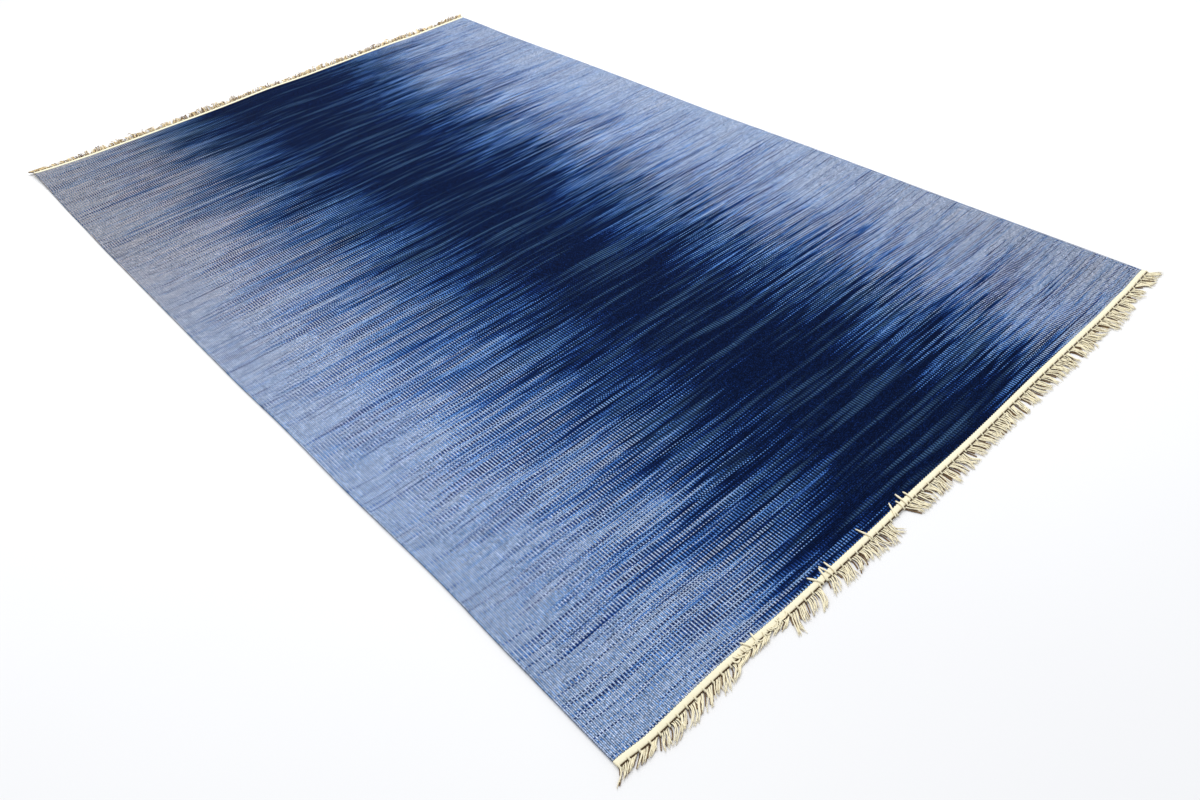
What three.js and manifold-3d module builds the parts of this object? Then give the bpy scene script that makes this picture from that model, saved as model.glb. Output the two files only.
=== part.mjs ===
// A flat-woven dhurrie lying on the floor: a woven field with corded long sides,
// and at each end a narrow cream heading with its fringe of warp-end bunches.
// Millimetres, +Z up, +Y along the length, origin under the middle of the rug.

import * as THREE from 'three';
import { mergeVertices } from 'three/addons/utils/BufferGeometryUtils.js';
import Module from 'manifold-3d';

const wasm = await Module();
wasm.setup();

// Driving dimensions
const FIELD_WIDTH = 1524;
const FIELD_LENGTH = 2450;
const FIELD_THICKNESS = 3.4;
const SELVEDGE_WIDTH = 7;
const SELVEDGE_HEIGHT = 4.2;
const SELVEDGE_CHAMFER = 1;
const HEADING_WIDTH = 11;
const HEADING_HEIGHT = 4.4;
const HEADING_CHAMFER = 1;
const PIECE_GAP = 0.3;
const CORD_LIFT = 0.2;
const EDGE_STEP = 50;

// Fringe: each bunch is six warp ends, knotted at the heading and parted into two prongs
const BUNCH_COUNT = 84;
const BUNCH_PITCH = FIELD_WIDTH / BUNCH_COUNT;
const BUNCH_WIDTH = 0.76 * BUNCH_PITCH;
const BUNCH_HEIGHT = 3;
const ROOT_DEPTH = 4;
const ROOT_NARROWING = 0.8;
const FORK_AT = 0.45;
const TIP_NARROWING = 0.85;
const TIP_PARTING = 0.25;
const SHORT_PRONG = 0.9;
const SHORT_PRONG_SPREAD = 0.06;
const LEAN_EASING = 1.4;
const LEAN_SPREAD = 5;
const LENGTH_SPREAD = 2.5;
const LEAST_TIP_SPACING = 0.76 * BUNCH_PITCH;

// Strands that have flipped back over the near heading
const FLIPPED_WIDTH = 3.2;
const FLIPPED_HEIGHT = 2.6;
const FLIPPED_START = 0.8;

// How far each edge of the field strays outwards from straight, along that edge
const NEAR_EDGE = [
  { along: 0, out: -3 },
  { along: 60, out: 1.5 },
  { along: 190, out: -1 },
  { along: 370, out: 4 },
  { along: 570, out: 5 },
  { along: 690, out: 3 },
  { along: 830, out: 4 },
  { along: 1130, out: 0 },
  { along: 1300, out: 0 },
  { along: 1420, out: -3 },
  { along: 1524, out: -8 },
];
const FAR_EDGE = [
  { along: 0, out: 9 },
  { along: 130, out: 11 },
  { along: 370, out: 7 },
  { along: 570, out: 4 },
  { along: 740, out: 10 },
  { along: 890, out: 2 },
  { along: 1210, out: 1 },
  { along: 1310, out: -5 },
  { along: 1524, out: -3 },
];
const LEFT_EDGE = [
  { along: 0, out: 2 },
  { along: 200, out: 0 },
  { along: 420, out: -4 },
  { along: 720, out: 0 },
  { along: 920, out: -1 },
  { along: 1150, out: 2.5 },
  { along: 1850, out: 2 },
  { along: 2100, out: -1 },
  { along: 2450, out: -7 },
];
const RIGHT_EDGE = [
  { along: 0, out: 1.5 },
  { along: 420, out: -0.5 },
  { along: 820, out: 0.5 },
  { along: 1200, out: -4 },
  { along: 1720, out: 2.5 },
  { along: 2120, out: 0.5 },
  { along: 2450, out: 6 },
];

// Clumps of the fringe from the left side on: lean in degrees towards +X, and length past
// the heading, which is 0 where the strands are worn away or folded back
const NEAR_CLUMPS = [
  { from: 0, lean: -44, length: 34 },
  { from: 25, lean: -56, length: 28 },
  { from: 65, lean: -38, length: 33 },
  { from: 195, lean: -42, length: 31 },
  { from: 228, lean: -62, length: 24 },
  { from: 308, lean: -60, length: 20 },
  { from: 345, lean: -30, length: 38 },
  { from: 420, lean: 0, length: 0 },
  { from: 436, lean: -36, length: 34 },
  { from: 462, lean: -22, length: 35 },
  { from: 500, lean: -15, length: 33 },
  { from: 535, lean: -4, length: 32 },
  { from: 580, lean: 8, length: 30 },
  { from: 600, lean: 0, length: 0 },
  { from: 635, lean: 28, length: 36 },
  { from: 660, lean: 3, length: 33 },
  { from: 695, lean: -10, length: 34 },
  { from: 745, lean: -6, length: 37 },
  { from: 770, lean: 0, length: 36 },
  { from: 812, lean: 18, length: 33 },
  { from: 880, lean: -14, length: 33 },
  { from: 985, lean: -10, length: 34 },
  { from: 1035, lean: 10, length: 33 },
  { from: 1125, lean: -2, length: 34 },
  { from: 1230, lean: 24, length: 33 },
  { from: 1293, lean: 10, length: 39 },
  { from: 1340, lean: -3, length: 35 },
  { from: 1390, lean: 20, length: 30 },
  { from: 1450, lean: 35, length: 32 },
  { from: 1505, lean: 43, length: 36 },
];
const FAR_CLUMPS = [
  { from: 0, lean: -38, length: 36 },
  { from: 60, lean: -12, length: 29 },
  { from: 150, lean: 5, length: 35 },
  { from: 185, lean: 0, length: 30 },
  { from: 225, lean: 0, length: 0 },
  { from: 240, lean: 0, length: 34 },
  { from: 360, lean: 0, length: 0 },
  { from: 388, lean: 18, length: 36 },
  { from: 430, lean: 8, length: 33 },
  { from: 475, lean: 12, length: 37 },
  { from: 595, lean: 0, length: 0 },
  { from: 612, lean: 20, length: 38 },
  { from: 635, lean: 12, length: 31 },
  { from: 795, lean: 0, length: 0 },
  { from: 830, lean: 15, length: 32 },
  { from: 870, lean: 24, length: 37 },
  { from: 1030, lean: 12, length: 29 },
  { from: 1130, lean: 30, length: 37 },
  { from: 1280, lean: 10, length: 32 },
  { from: 1375, lean: 22, length: 28 },
  { from: 1405, lean: 0, length: 0 },
  { from: 1430, lean: 32, length: 36 },
];

// Flipped strands of the near end: where they cross the heading, lean, and reach onto the field
const FLIPPED_STRANDS = [
  { at: 262, lean: -25, reach: 4 },
  { at: 274, lean: 15, reach: 5 },
  { at: 424, lean: -25, reach: 11 },
  { at: 433, lean: 22, reach: 10 },
  { at: 446, lean: -6, reach: 12 },
  { at: 454, lean: 6, reach: 12 },
  { at: 548, lean: -8, reach: 17 },
  { at: 611, lean: 35, reach: 11 },
  { at: 635, lean: 10, reach: 5 },
  { at: 645, lean: 10, reach: 14 },
  { at: 661, lean: 5, reach: 8 },
];

// Finishes
const FIELD_FINISH = { color: 0x33558f, roughness: 0.9, metalness: 0 };
const FRINGE_FINISH = { color: 0xe6d8b4, roughness: 0.9, metalness: 0 };

// Traits that vary from bunch to bunch, and the factors that scatter them
const TRAIT = { lean: 0, length: 2, shortProng: 4, longSide: 5 };
const HASH = { index: 127.1, trait: 311.7, spread: 43758.5453 };

const MERGE_TOLERANCE = 1e-4;

const { lerp, smoothstep, degToRad } = THREE.MathUtils;

// A repeatable number from -1 to 1 for a bunch of the fringe and one of its traits
function jitter(index, trait) {
  const wave = Math.sin(index * HASH.index + trait * HASH.trait) * HASH.spread;
  return 2 * (wave - Math.floor(wave)) - 1;
}

// The straying of an edge at a distance along it, eased from row to row
function strayAt(edge, along) {
  const after = edge.findIndex((row) => row.along >= along);
  if (after === 0) return edge[0].out;
  const next = edge[after];
  const last = edge[after - 1];
  return lerp(last.out, next.out, smoothstep(along, last.along, next.along));
}

// The four edges of the field, by the fraction of their length
function nearY(across) {
  return -FIELD_LENGTH / 2 - strayAt(NEAR_EDGE, across * FIELD_WIDTH);
}

function farY(across) {
  return FIELD_LENGTH / 2 + strayAt(FAR_EDGE, across * FIELD_WIDTH);
}

function leftX(up) {
  return -FIELD_WIDTH / 2 - strayAt(LEFT_EDGE, up * FIELD_LENGTH);
}

function rightX(up) {
  return FIELD_WIDTH / 2 + strayAt(RIGHT_EDGE, up * FIELD_LENGTH);
}

// A point of the field by its fractions across and up
function fieldPoint(across, up) {
  const x = lerp(leftX(up), rightX(up), across);
  const y = lerp(nearY(across), farY(across), up);
  return new THREE.Vector2(x, y);
}

// Even fractions from 0 to 1, about one for every step of an edge
function fractions(length) {
  const count = Math.round(length / EDGE_STEP);
  return Array.from({ length: count + 1 }, (_, i) => i / count);
}

// A solid for joining, from a closed geometry
function solidOf(geometry) {
  const bare = geometry.clone();
  bare.deleteAttribute('normal');
  bare.deleteAttribute('uv');
  const merged = mergeVertices(bare, MERGE_TOLERANCE);
  const vertProperties = Float32Array.from(merged.attributes.position.array);
  const triVerts = Uint32Array.from(merged.index.array);
  return new wasm.Manifold(new wasm.Mesh({ numProp: 3, vertProperties, triVerts }));
}

// One geometry from several overlapping closed ones
function fuse(geometries) {
  const solid = geometries.map(solidOf).reduce((all, next) => all.add(next));
  const { vertProperties, triVerts } = solid.getMesh();
  const geometry = new THREE.BufferGeometry();
  geometry.setAttribute('position', new THREE.BufferAttribute(vertProperties, 3));
  geometry.setIndex(new THREE.BufferAttribute(triVerts, 1));
  geometry.computeVertexNormals();
  return geometry;
}

// A flat outline raised to a height above a floor level, with its edges chamfered if asked
function slab(outline, height, base = 0, chamfer = 0) {
  const geometry = new THREE.ExtrudeGeometry(new THREE.Shape(outline), {
    depth: height - 2 * chamfer,
    bevelEnabled: chamfer > 0,
    bevelThickness: chamfer,
    bevelSize: chamfer,
    bevelOffset: -chamfer,
    bevelSegments: 1,
  });
  return geometry.translate(0, 0, base + chamfer);
}

// A cord of flattened eight-sided section along plan points, just clear of the floor.
// The section's x turns upright and its y turns across the route
function cord(points, width, height, chamfer) {
  const half = new THREE.Vector2(height / 2, width / 2);
  const section = new THREE.Shape([
    new THREE.Vector2(half.x, chamfer - half.y),
    new THREE.Vector2(half.x, half.y - chamfer),
    new THREE.Vector2(half.x - chamfer, half.y),
    new THREE.Vector2(chamfer - half.x, half.y),
    new THREE.Vector2(-half.x, half.y - chamfer),
    new THREE.Vector2(-half.x, chamfer - half.y),
    new THREE.Vector2(chamfer - half.x, -half.y),
    new THREE.Vector2(half.x - chamfer, -half.y),
  ]);
  const route = points.map((point) => new THREE.Vector3(point.x, point.y, CORD_LIFT + half.x));
  return new THREE.ExtrudeGeometry(section, {
    steps: points.length - 1,
    bevelEnabled: false,
    extrudePath: new THREE.CatmullRomCurve3(route),
  });
}

// The woven field with a corded selvedge along each long side
function fieldGeometry() {
  const across = fractions(FIELD_WIDTH);
  const up = fractions(FIELD_LENGTH);
  const left = SELVEDGE_WIDTH / 2 / FIELD_WIDTH;
  const right = 1 - left;
  const outline = [
    ...across.map((u) => fieldPoint(lerp(left, right, u), 0)),
    ...up.slice(1, -1).map((v) => fieldPoint(right, v)),
    ...across.toReversed().map((u) => fieldPoint(lerp(left, right, u), 1)),
    ...up.slice(1, -1).toReversed().map((v) => fieldPoint(left, v)),
  ];
  const sides = [left, right].map((u) => {
    const points = up.map((v) => fieldPoint(u, v));
    return cord(points, SELVEDGE_WIDTH, SELVEDGE_HEIGHT, SELVEDGE_CHAMFER);
  });
  return fuse([slab(outline, FIELD_THICKNESS), ...sides]);
}

// The bunches of one end: root, tip and reach, with the tips kept in order along the end
function bunchesOf(clumps, end) {
  const bunches = [];
  let lastTip = -Infinity;
  for (let i = 0; i < BUNCH_COUNT; i += 1) {
    const along = (i + 0.5) * BUNCH_PITCH;
    const clump = clumps.findLast((row) => row.from <= along);
    if (clump.length > 0) {
      const lean = degToRad(clump.lean + LEAN_SPREAD * jitter(i, TRAIT.lean + end));
      const length = clump.length + LENGTH_SPREAD * jitter(i, TRAIT.length + end);
      const out = length * Math.cos(lean);
      const tip = Math.max(along + length * Math.sin(lean), lastTip + LEAST_TIP_SPACING);
      bunches.push({ along, tip, out });
      lastTip = tip;
    }
  }
  return bunches;
}

// The plan of one bunch: two prongs of unequal length that part at the fork, rooted in the
// heading and bending into their lean as they go
function bunchOutline(bunch, index, root, direction) {
  const sweep = bunch.tip - bunch.along;
  const place = (part, side) => {
    const drift = sweep * part ** LEAN_EASING + side * BUNCH_WIDTH / 2;
    const out = part === 0 ? -ROOT_DEPTH : bunch.out * part;
    return new THREE.Vector2(root.x + drift, root.y + direction * out);
  };
  const shorter = SHORT_PRONG + SHORT_PRONG_SPREAD * jitter(index, TRAIT.shortProng);
  const leftIsLong = jitter(index, TRAIT.longSide) > 0;
  const leftTip = leftIsLong ? 1 : shorter;
  const rightTip = leftIsLong ? shorter : 1;
  return [
    place(0, -ROOT_NARROWING),
    place(FORK_AT, -1),
    place(leftTip, -TIP_NARROWING),
    place(leftTip, -TIP_PARTING),
    place(FORK_AT, 0),
    place(rightTip, TIP_PARTING),
    place(rightTip, TIP_NARROWING),
    place(FORK_AT, 1),
    place(0, ROOT_NARROWING),
  ];
}

// A strand lying back over the near heading and onto the field
function flippedStrand(row) {
  const edge = fieldPoint(row.at / FIELD_WIDTH, 0);
  const start = edge.y - PIECE_GAP - FLIPPED_START * HEADING_WIDTH;
  const end = edge.y + row.reach;
  const drift = (end - start) * Math.tan(degToRad(row.lean));
  const half = FLIPPED_WIDTH / 2;
  const outline = [
    new THREE.Vector2(edge.x - half, start),
    new THREE.Vector2(edge.x + half, start),
    new THREE.Vector2(edge.x + drift + half * TIP_NARROWING, end),
    new THREE.Vector2(edge.x + drift - half * TIP_NARROWING, end),
  ];
  return slab(outline, FLIPPED_HEIGHT, FIELD_THICKNESS + PIECE_GAP);
}

// The heading of one end with its bunches fused to it. The end is 0 near and 1 far
function fringeGeometry(end, clumps, flipped) {
  const direction = end === 0 ? -1 : 1;
  const offEdge = (across, out) => {
    const point = fieldPoint(across, end);
    return new THREE.Vector2(point.x, point.y + direction * out);
  };
  const across = fractions(FIELD_WIDTH);
  const outer = PIECE_GAP + HEADING_WIDTH;
  const heading = slab([
    ...across.map((u) => offEdge(u, PIECE_GAP)),
    ...across.toReversed().map((u) => offEdge(u, outer)),
  ], HEADING_HEIGHT, CORD_LIFT, HEADING_CHAMFER);
  const bunches = bunchesOf(clumps, end).map((bunch, index) => {
    const root = offEdge(bunch.along / FIELD_WIDTH, outer);
    return slab(bunchOutline(bunch, index, root, direction), BUNCH_HEIGHT);
  });
  return fuse([heading, ...bunches, ...flipped.map(flippedStrand)]);
}

function piece(name, geometry, finish) {
  const mesh = new THREE.Mesh(geometry, new THREE.MeshStandardMaterial(finish));
  mesh.name = name;
  return mesh;
}

const dhurrie = new THREE.Group();
dhurrie.add(piece('field', fieldGeometry(), FIELD_FINISH));
dhurrie.add(piece('fringe_near', fringeGeometry(0, NEAR_CLUMPS, FLIPPED_STRANDS), FRINGE_FINISH));
dhurrie.add(piece('fringe_far', fringeGeometry(1, FAR_CLUMPS, []), FRINGE_FINISH));

export default dhurrie;
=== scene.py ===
import math
from typing import NamedTuple

import bpy
import numpy as np
from mathutils import Color, Matrix, Vector


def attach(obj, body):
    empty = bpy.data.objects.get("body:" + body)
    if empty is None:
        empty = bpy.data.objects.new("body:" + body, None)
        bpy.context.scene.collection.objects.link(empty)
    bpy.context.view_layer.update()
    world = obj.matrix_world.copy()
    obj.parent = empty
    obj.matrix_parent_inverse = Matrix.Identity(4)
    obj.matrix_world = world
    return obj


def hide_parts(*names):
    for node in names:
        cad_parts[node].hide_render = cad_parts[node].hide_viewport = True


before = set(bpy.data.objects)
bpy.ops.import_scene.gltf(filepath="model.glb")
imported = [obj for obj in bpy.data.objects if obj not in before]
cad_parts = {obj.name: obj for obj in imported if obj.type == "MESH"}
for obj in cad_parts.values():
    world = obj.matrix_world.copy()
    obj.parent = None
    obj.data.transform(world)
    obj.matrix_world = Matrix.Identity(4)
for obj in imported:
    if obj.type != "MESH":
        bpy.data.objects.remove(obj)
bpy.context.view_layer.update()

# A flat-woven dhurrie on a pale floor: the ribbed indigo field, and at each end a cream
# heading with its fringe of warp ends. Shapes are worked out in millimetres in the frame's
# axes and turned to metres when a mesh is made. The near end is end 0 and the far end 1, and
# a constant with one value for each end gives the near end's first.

MM = 0.001
SEED = 11
NEAR = 0
FAR = 1

# Field
FIELD_WIDTH = 1524.0
FIELD_LENGTH = 2450.0
FIELD_THICKNESS = 3.4
RIB_COUNT = 504
RIB_PITCH = FIELD_WIDTH / RIB_COUNT
RIB_DEPTH = 0.5
COLUMNS_PER_RIB = 2
FIELD_ROWS = 45
RIM = 1.0
PICK_PITCH = 1.2
PICK_COUNT = FIELD_LENGTH / PICK_PITCH
SELVEDGE_WIDTH = 7.0
SELVEDGE_TOP = 4.4
SELVEDGE_LEAST = 0.25

# The far left corner has curled up a little
CURL_HEIGHT = 9.0
CURL_RADIUS = 210.0

# How far each edge of the field strays outwards from straight: (along the edge, out)
NEAR_EDGE = [
    (0, -3), (60, 1.5), (190, -1), (370, 4), (570, 5), (690, 3),
    (830, 4), (1130, 0), (1300, 0), (1420, -3), (1524, -8),
]
FAR_EDGE = [
    (0, 9), (130, 11), (370, 7), (570, 4), (740, 10),
    (890, 2), (1210, 1), (1310, -5), (1524, -3),
]
LEFT_EDGE = [
    (0, 2), (200, 0), (420, -4), (720, 0), (920, -1),
    (1150, 2.5), (1850, 2), (2100, -1), (2450, -7),
]
RIGHT_EDGE = [
    (0, 1.5), (420, -0.5), (820, 0.5), (1200, -4),
    (1720, 2.5), (2120, 0.5), (2450, 6),
]

# Heading: its section, as distance out from the field's end and height, with a tone a point that is
# painted shade, darker under the outer edge
PIECE_GAP = 0.3
HEADING_WIDTH = 11.0
HEADING_SECTION = [
    (0.5, 0.4),
    (0.2, 2.6),
    (0.4, 3.8),
    (2.4, 4.4),
    (5.5, 4.6),
    (8.6, 4.4),
    (10.6, 3.8),
    (11.3, 3.0),
    (10.6, 2.2),
    (8.0, 1.2),
]
HEADING_SHADE = [0.7, 0.75, 0.95, 1.0, 1.0, 0.95, 0.8, 0.6, 0.3, 0.3]
HEADING_RIB = 0.3
TOOTH_POINTS = (1, 2)
TOOTH_DEPTH = 1.1

# Overcast stitches over the heading's outer edge, with their route as (out, height)
STITCH_RADIUS = 1.7
STITCH_SIDES = 6
STITCH_TONE = 0.9
STITCH_ROUTE = [(8.6, 4.6), (10.8, 4.3), (12.0, 3.3), (13.0, 2.6), (15.5, 2.2)]

# Bunches of the fringe
BUNCH_COUNT = 84
BUNCH_PITCH = FIELD_WIDTH / BUNCH_COUNT
BUNCH_WIDTH = 0.76 * BUNCH_PITCH
LEAST_TIP_SPACING = 0.76 * BUNCH_PITCH
LEAN_EASING = 1.4
LEAN_SPREAD = 5.0
LENGTH_SPREAD = 2.5
STUB_LENGTH = 13.0
GATHER = (0.75, 1.5)
BOW = 5.5
LIFT = (0.45, 1.25)
TRIM = (-0.22, 0.08)
BUNCH_TONE = (0.14, 0.35)

# The near fringe grows more even from here to the right, and paler with painted light
EVEN_START = 500.0
EVEN_SPAN = 400.0
EVEN_TRIM = 0.75
EVEN_PAINTED_LIGHT = 0.22

# Strands of a bunch. Every other one lies lower and is darkened with painted shade, and the far
# ones rise least beside the curled corner. The taper is shares of the length, then of the radius.
STRANDS_PER_BUNCH = (6, 7)
STRAND_RADIUS = 0.85
STRAND_SIDES = 7
STRAND_STEPS = 14
STRAND_LOBE = 0.22
STRAND_TURN = 13.0
STRAND_REACH = (0.8, 1.0)
STRAND_THICKNESS = (0.88, 1.08)
STRAND_TAPER = ((0.0, 0.3, 0.95, 1.0), (0.9, 1.0, 1.05, 0.8))
ROOT_DEPTH = 4.0
TIP_SCATTER = 5.0
WIGGLE = 4.0
WIGGLE_SHARE = (0.3, 1.0)
WIGGLE_TURNS = (0.5, 1.3)
HIGH_LAYER = 2.7
LAYER_SCATTER = (-0.6, 0.4)
SETTLING = (0.2, 0.9)
LOFT = (2.5, 8.8)
LOFT_EASING = 1.3
LEAST_LOFT = (1.0, 0.3)
FLOOR_CLEARANCE = 0.05
STRAND_TONE = (1.5, 1.2)
TONE_SCATTER = ((-0.35, 0.25), (-0.95, 0.25))
SHADED_TONE = -0.35
SHADED_DROP = 0.6
# Painted shade on the underside of every tube
UNDERSIDE_SHADE = 1.1
UNDERSIDE_EASING = 1.6
# Painted shadow on the strands' roots under the heading's outer edge
ROOT_SHADE = (0.9, 0.0)
ROOT_SHADE_RUN = (0.2, 1.6)

# Loose fibres at a strand's tip
FIBRES_PER_STRAND = 2
FIBRE_RADIUS = 0.35
FIBRE_LENGTH = 3.0
FIBRE_SCATTER = (0.6, 1.2)
FIBRE_SPLAY = ((-0.5, 0.5), (-0.5, 0.5), (-0.15, 0.1))
FIBRE_SIDES = 4
FIBRE_STEPS = 3

# Strands under a bunch, darkened brown as painted shade so the gaps look dark
UNDER_STRANDS = 4
UNDER_RADIUS = 1.1
UNDER_SIDES = 5
UNDER_STEPS = 8
UNDER_REACH = (0.35, 0.9)
UNDER_SCATTER = 1.0
UNDER_SHADED_TONE = 0.2
UNDER_PAINTED_SHADE = (0.95, 0.35)

# Dark strips of painted shadow under the heading's outer edge, one a bunch
DASH_LENGTH = 13.5
DASH_RADIUS = 0.95
DASH_OUT = 12.3
DASH_HEIGHT = 3.5
DASH_STEPS = 6
DASH_SIDES = 6
DASH_TONE = 0.5
DASH_SHADE = 1.0

# Clumps of the fringe from the left side on: (from, lean in degrees towards +X, length past
# the heading), with length 0 where the strands are worn away or folded back
NEAR_CLUMPS = [
    (0, -44, 34), (25, -56, 28), (65, -38, 33), (195, -42, 31), (228, -62, 24),
    (308, -60, 20), (345, -30, 38), (420, 0, 0), (436, -36, 34), (462, -22, 35),
    (500, -15, 33), (535, -4, 32), (580, 8, 30), (600, 0, 0), (635, 28, 36),
    (660, 3, 33), (695, -10, 34), (745, -6, 37), (770, 0, 36), (812, 18, 33),
    (880, -14, 33), (985, -10, 34), (1035, 10, 33), (1125, -2, 34), (1230, 24, 33),
    (1293, 10, 39), (1340, -3, 35), (1390, 20, 30), (1450, 35, 32), (1505, 43, 36),
]
FAR_CLUMPS = [
    (0, -38, 36), (60, -12, 29), (150, 5, 35), (185, 0, 30), (225, 0, 0),
    (240, 0, 34), (360, 0, 0), (388, 18, 36), (430, 8, 33), (475, 12, 37),
    (595, 0, 0), (612, 20, 38), (635, 12, 31), (795, 0, 0), (830, 15, 32),
    (870, 24, 37), (1030, 12, 29), (1130, 30, 37), (1280, 10, 32), (1375, 22, 28),
    (1405, 0, 0), (1430, 32, 36),
]

# Flipped strands of the near end: (where they cross the heading, lean, reach onto the field).
# Their route starts with (out, height) and ends with (share of the reach, height).
FLIPPED_STRANDS = [
    (262, -25, 4), (274, 15, 5), (424, -25, 11), (433, 22, 10), (446, -6, 12), (454, 6, 12),
    (548, -8, 17), (611, 35, 11), (635, 10, 5), (645, 10, 14), (661, 5, 8),
]
FLIPPED_START = [
    (10.5, 1.6), (12.6, 2.2), (13.2, 3.8), (11.5, 5.3), (8.0, 6.0), (4.0, 6.0), (0.0, 5.7),
]
FLIPPED_ENDING = [(0.5, 4.9), (1.0, 4.7)]
FLIPPED_RADIUS = 1.5
FLIPPED_TONE = (1.3, 1.5)

# A tangle of strands folded onto the near heading: where it starts and ends, and its strands
TANGLE = (232.0, 338.0)
TANGLE_STRANDS = 20
TANGLE_STEPS = 12
TANGLE_REACH = (6.0, 16.0)
TANGLE_WAYS = (-1.0, -1.0, 1.0)
TANGLE_START = (10.0, 2.4)
TANGLE_LOOP = (3.5, 7.5)
TANGLE_RETURN = (1.0, 6.5)
TANGLE_CLIMB = (3.2, 3.8)
TANGLE_HUMP = 0.6
TANGLE_TONE = (1.1, 1.45)
TANGLE_TAPER = ((0.0, 2.8, math.pi), (1.0, 1.0, 0.6))

# Strands that lie loose on the heading
LOOSE_TIP = 0.6
LOOSE_PHASE = 3.0

# Traits that vary from bunch to bunch, and the factors that scatter them
LEAN_TRAIT = 0
LENGTH_TRAIT = 2
HASH_INDEX = 127.1
HASH_TRAIT = 311.7
HASH_SPREAD = 43758.5453


class Noise(NamedTuple):
    """A noise over the field: its sizes in millimetres, seed, detail and strength."""
    across: float
    along: float
    seed: float
    detail: float = 2.0
    strength: float = 1.0


# Weave: how a stitch slants, about how long one yarn leads before the other takes over, and
# a step that sets the random numbers of the two sides apart
STITCH_SLANT = 0.4
LEAD_LENGTH = 70.0
SIDE_STEP = 37.0

# Ombre: darkest along a line a little left of the middle, palest at the sides. Distances
# from that line are in shares of the reach. Each ramp is (from, to, first value, last value).
OMBRE_CENTRE = (100.0, 1000.0, 778.0, 754.0)
OMBRE_REACH = 555.0
NEAR_WIDENING = (280.0, 0.0, 0.0, 0.06)
FAR_WIDENING = (2100.0, 2450.0, 0.0, 0.12)
RIGHT_PART = (850.0, 1100.0)
DEEP_REACH = 0.93
LIGHT_START = 0.66
DEEP_EDGE = 0.18
LIGHT_EDGE = (0.38, 0.24)
DEEP_SHADE = (0.4, 1.15, 1.0, 0.78)
LIGHT_SHADE = (0.0, 0.82, 0.53, 0.092)
RIB_CONTRAST = 0.08

# How unevenly the picks are dyed, and where the streaks are calmer or stay solid
BROAD = Noise(300.0, 80.0, 3.3, strength=0.8)
DEEP_BAND = Noise(500.0, 22.0, 7.1, strength=0.5)
LIGHT_BAND = Noise(500.0, 22.0, 9.4, strength=0.6)
LIGHT_THREAD = Noise(300.0, 3.2, 17.9, strength=14.0)
STREAK = Noise(170.0, 3.0, 29.3, detail=1.0, strength=7.0)
WANDER = Noise(170.0, 1.4, 11.7, detail=1.0, strength=14.0)
LONG_STREAK = Noise(220.0, 5.0, 53.0, detail=1.0, strength=9.0)
LINES = Noise(260.0, 2.6, 41.0, strength=0.35)
RIGHT_BAND = 0.5
RIGHT_SOLID = 0.8
CALM = (0.0, 0.5, 0.3, 1.0)
LIGHT_CALM = (0.0, 0.36, 0.3, 1.0)
SOLID = (0.4, 0.9, 1.0, 0.2)

# Picks that run far out or far in: (seed, power, strength)
OUTRUN = (1.0, 9.0, 0.6)
INRUN = (2.0, 4.0, -0.5)

# Specks of the yarn: (cells a rib, cells a pick, seed, strength), and (seed, strength) for
# those that fill a stitch
FINE_SPECK = (2.0, 1.0, 5.0, 0.6)
STITCH_SPECK = (8.0, 0.35)
PATCH_SPECK = (0.5, 0.3, 6.0, 0.15)
HEATHER = (0.6, 0.2, 0.1, 0.3)
UNEVENNESS = (0.7, 1.1, -0.95, -1.35)

# Teal flecks in the dark middle
LENS = Noise(320.0, 13.0, 23.0)
LENS_EDGE = (0.0, 0.2, 0.0, 0.6)
LENS_FADE = (0.75, 0.45)
LENS_DOTS = 0.9
LENS_GRAIN = 2.0
TEAL = (84, 124, 168)

# Painted light and shade: a warm grey cast at the far left and the right side, darker at both ends
GREY_LEFT = (750.0, 150.0)
GREY_LEFT_RUN = (500.0, 2300.0)
GREY_LEFT_SHARE = 1.2
GREY_RIGHT = (1150.0, 1480.0)
GREY_RIGHT_RUN = (1000.0, 200.0, 0.3, 0.5)
WARM_LIGHT_TINT = (250, 226, 204)
NEAR_END_SHADE = (150.0, 1000.0, 0.9, 1.0)
FAR_END_SHADE = (1500.0, 2300.0, 0.0, -0.08)

# Relief of the stitches, which also paints shade into the hollows and light onto the crowns.
# Fibres have (scale by rib, scale by pick, seed), and a bump has (strength, distance in metres).
STITCH_EASING = 0.5
HOLLOW_SHADE = 0.18
CROWN_LIGHT = 1.22
WEAVE_FIBRE = (1.5, 3.0, 2.0)
WEAVE_FIBRE_DETAIL = 3.0
WEAVE_FIBRE_SHARE = 0.3
WEAVE_BUMP = (0.7, 0.0006)
WEAVE_ROUGHNESS = 0.95

# Indigo from pale to dark: (shade, screen colour)
INDIGO = [
    (0.0, (186, 200, 228)),
    (0.06, (170, 185, 213)),
    (0.13, (146, 176, 220)),
    (0.22, (114, 159, 222)),
    (0.32, (92, 141, 212)),
    (0.42, (73, 122, 196)),
    (0.52, (58, 104, 180)),
    (0.62, (46, 83, 152)),
    (0.72, (30, 64, 134)),
    (0.82, (18, 44, 102)),
    (0.9, (11, 33, 78)),
    (1.0, (5, 20, 53)),
]

# Cottons: name, and the pale and tan colours and the colour of painted shade. A noise has (scale,
# detail).
HEADING_COTTON = ("heading_cotton", (248, 241, 213), (204, 184, 136), (96, 76, 48))
NEAR_COTTON = ("fringe_cotton", (253, 244, 213), (146, 110, 66), (72, 50, 26))
FAR_COTTON = ("fringe_cotton_far", (248, 224, 172), (100, 64, 30), (56, 36, 18))
COTTON_PATCH = (140.0, 2.0)
COTTON_PATCH_SHARE = 0.5
COTTON_FIBRE = (1500.0, 3.0)
COTTON_FIBRE_SHARE = 0.25
COTTON_BUMP = (0.4, 0.0005)
COTTON_ROUGHNESS = 0.9
COTTON_SHEEN = 0.15

# Shader settings that all materials share, and the mix node's sockets for colours
SPECULAR = 0.05
MIX_SHARE = 0
MIX_FIRST = 6
MIX_SECOND = 7
MIX_RESULT = 2

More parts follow.
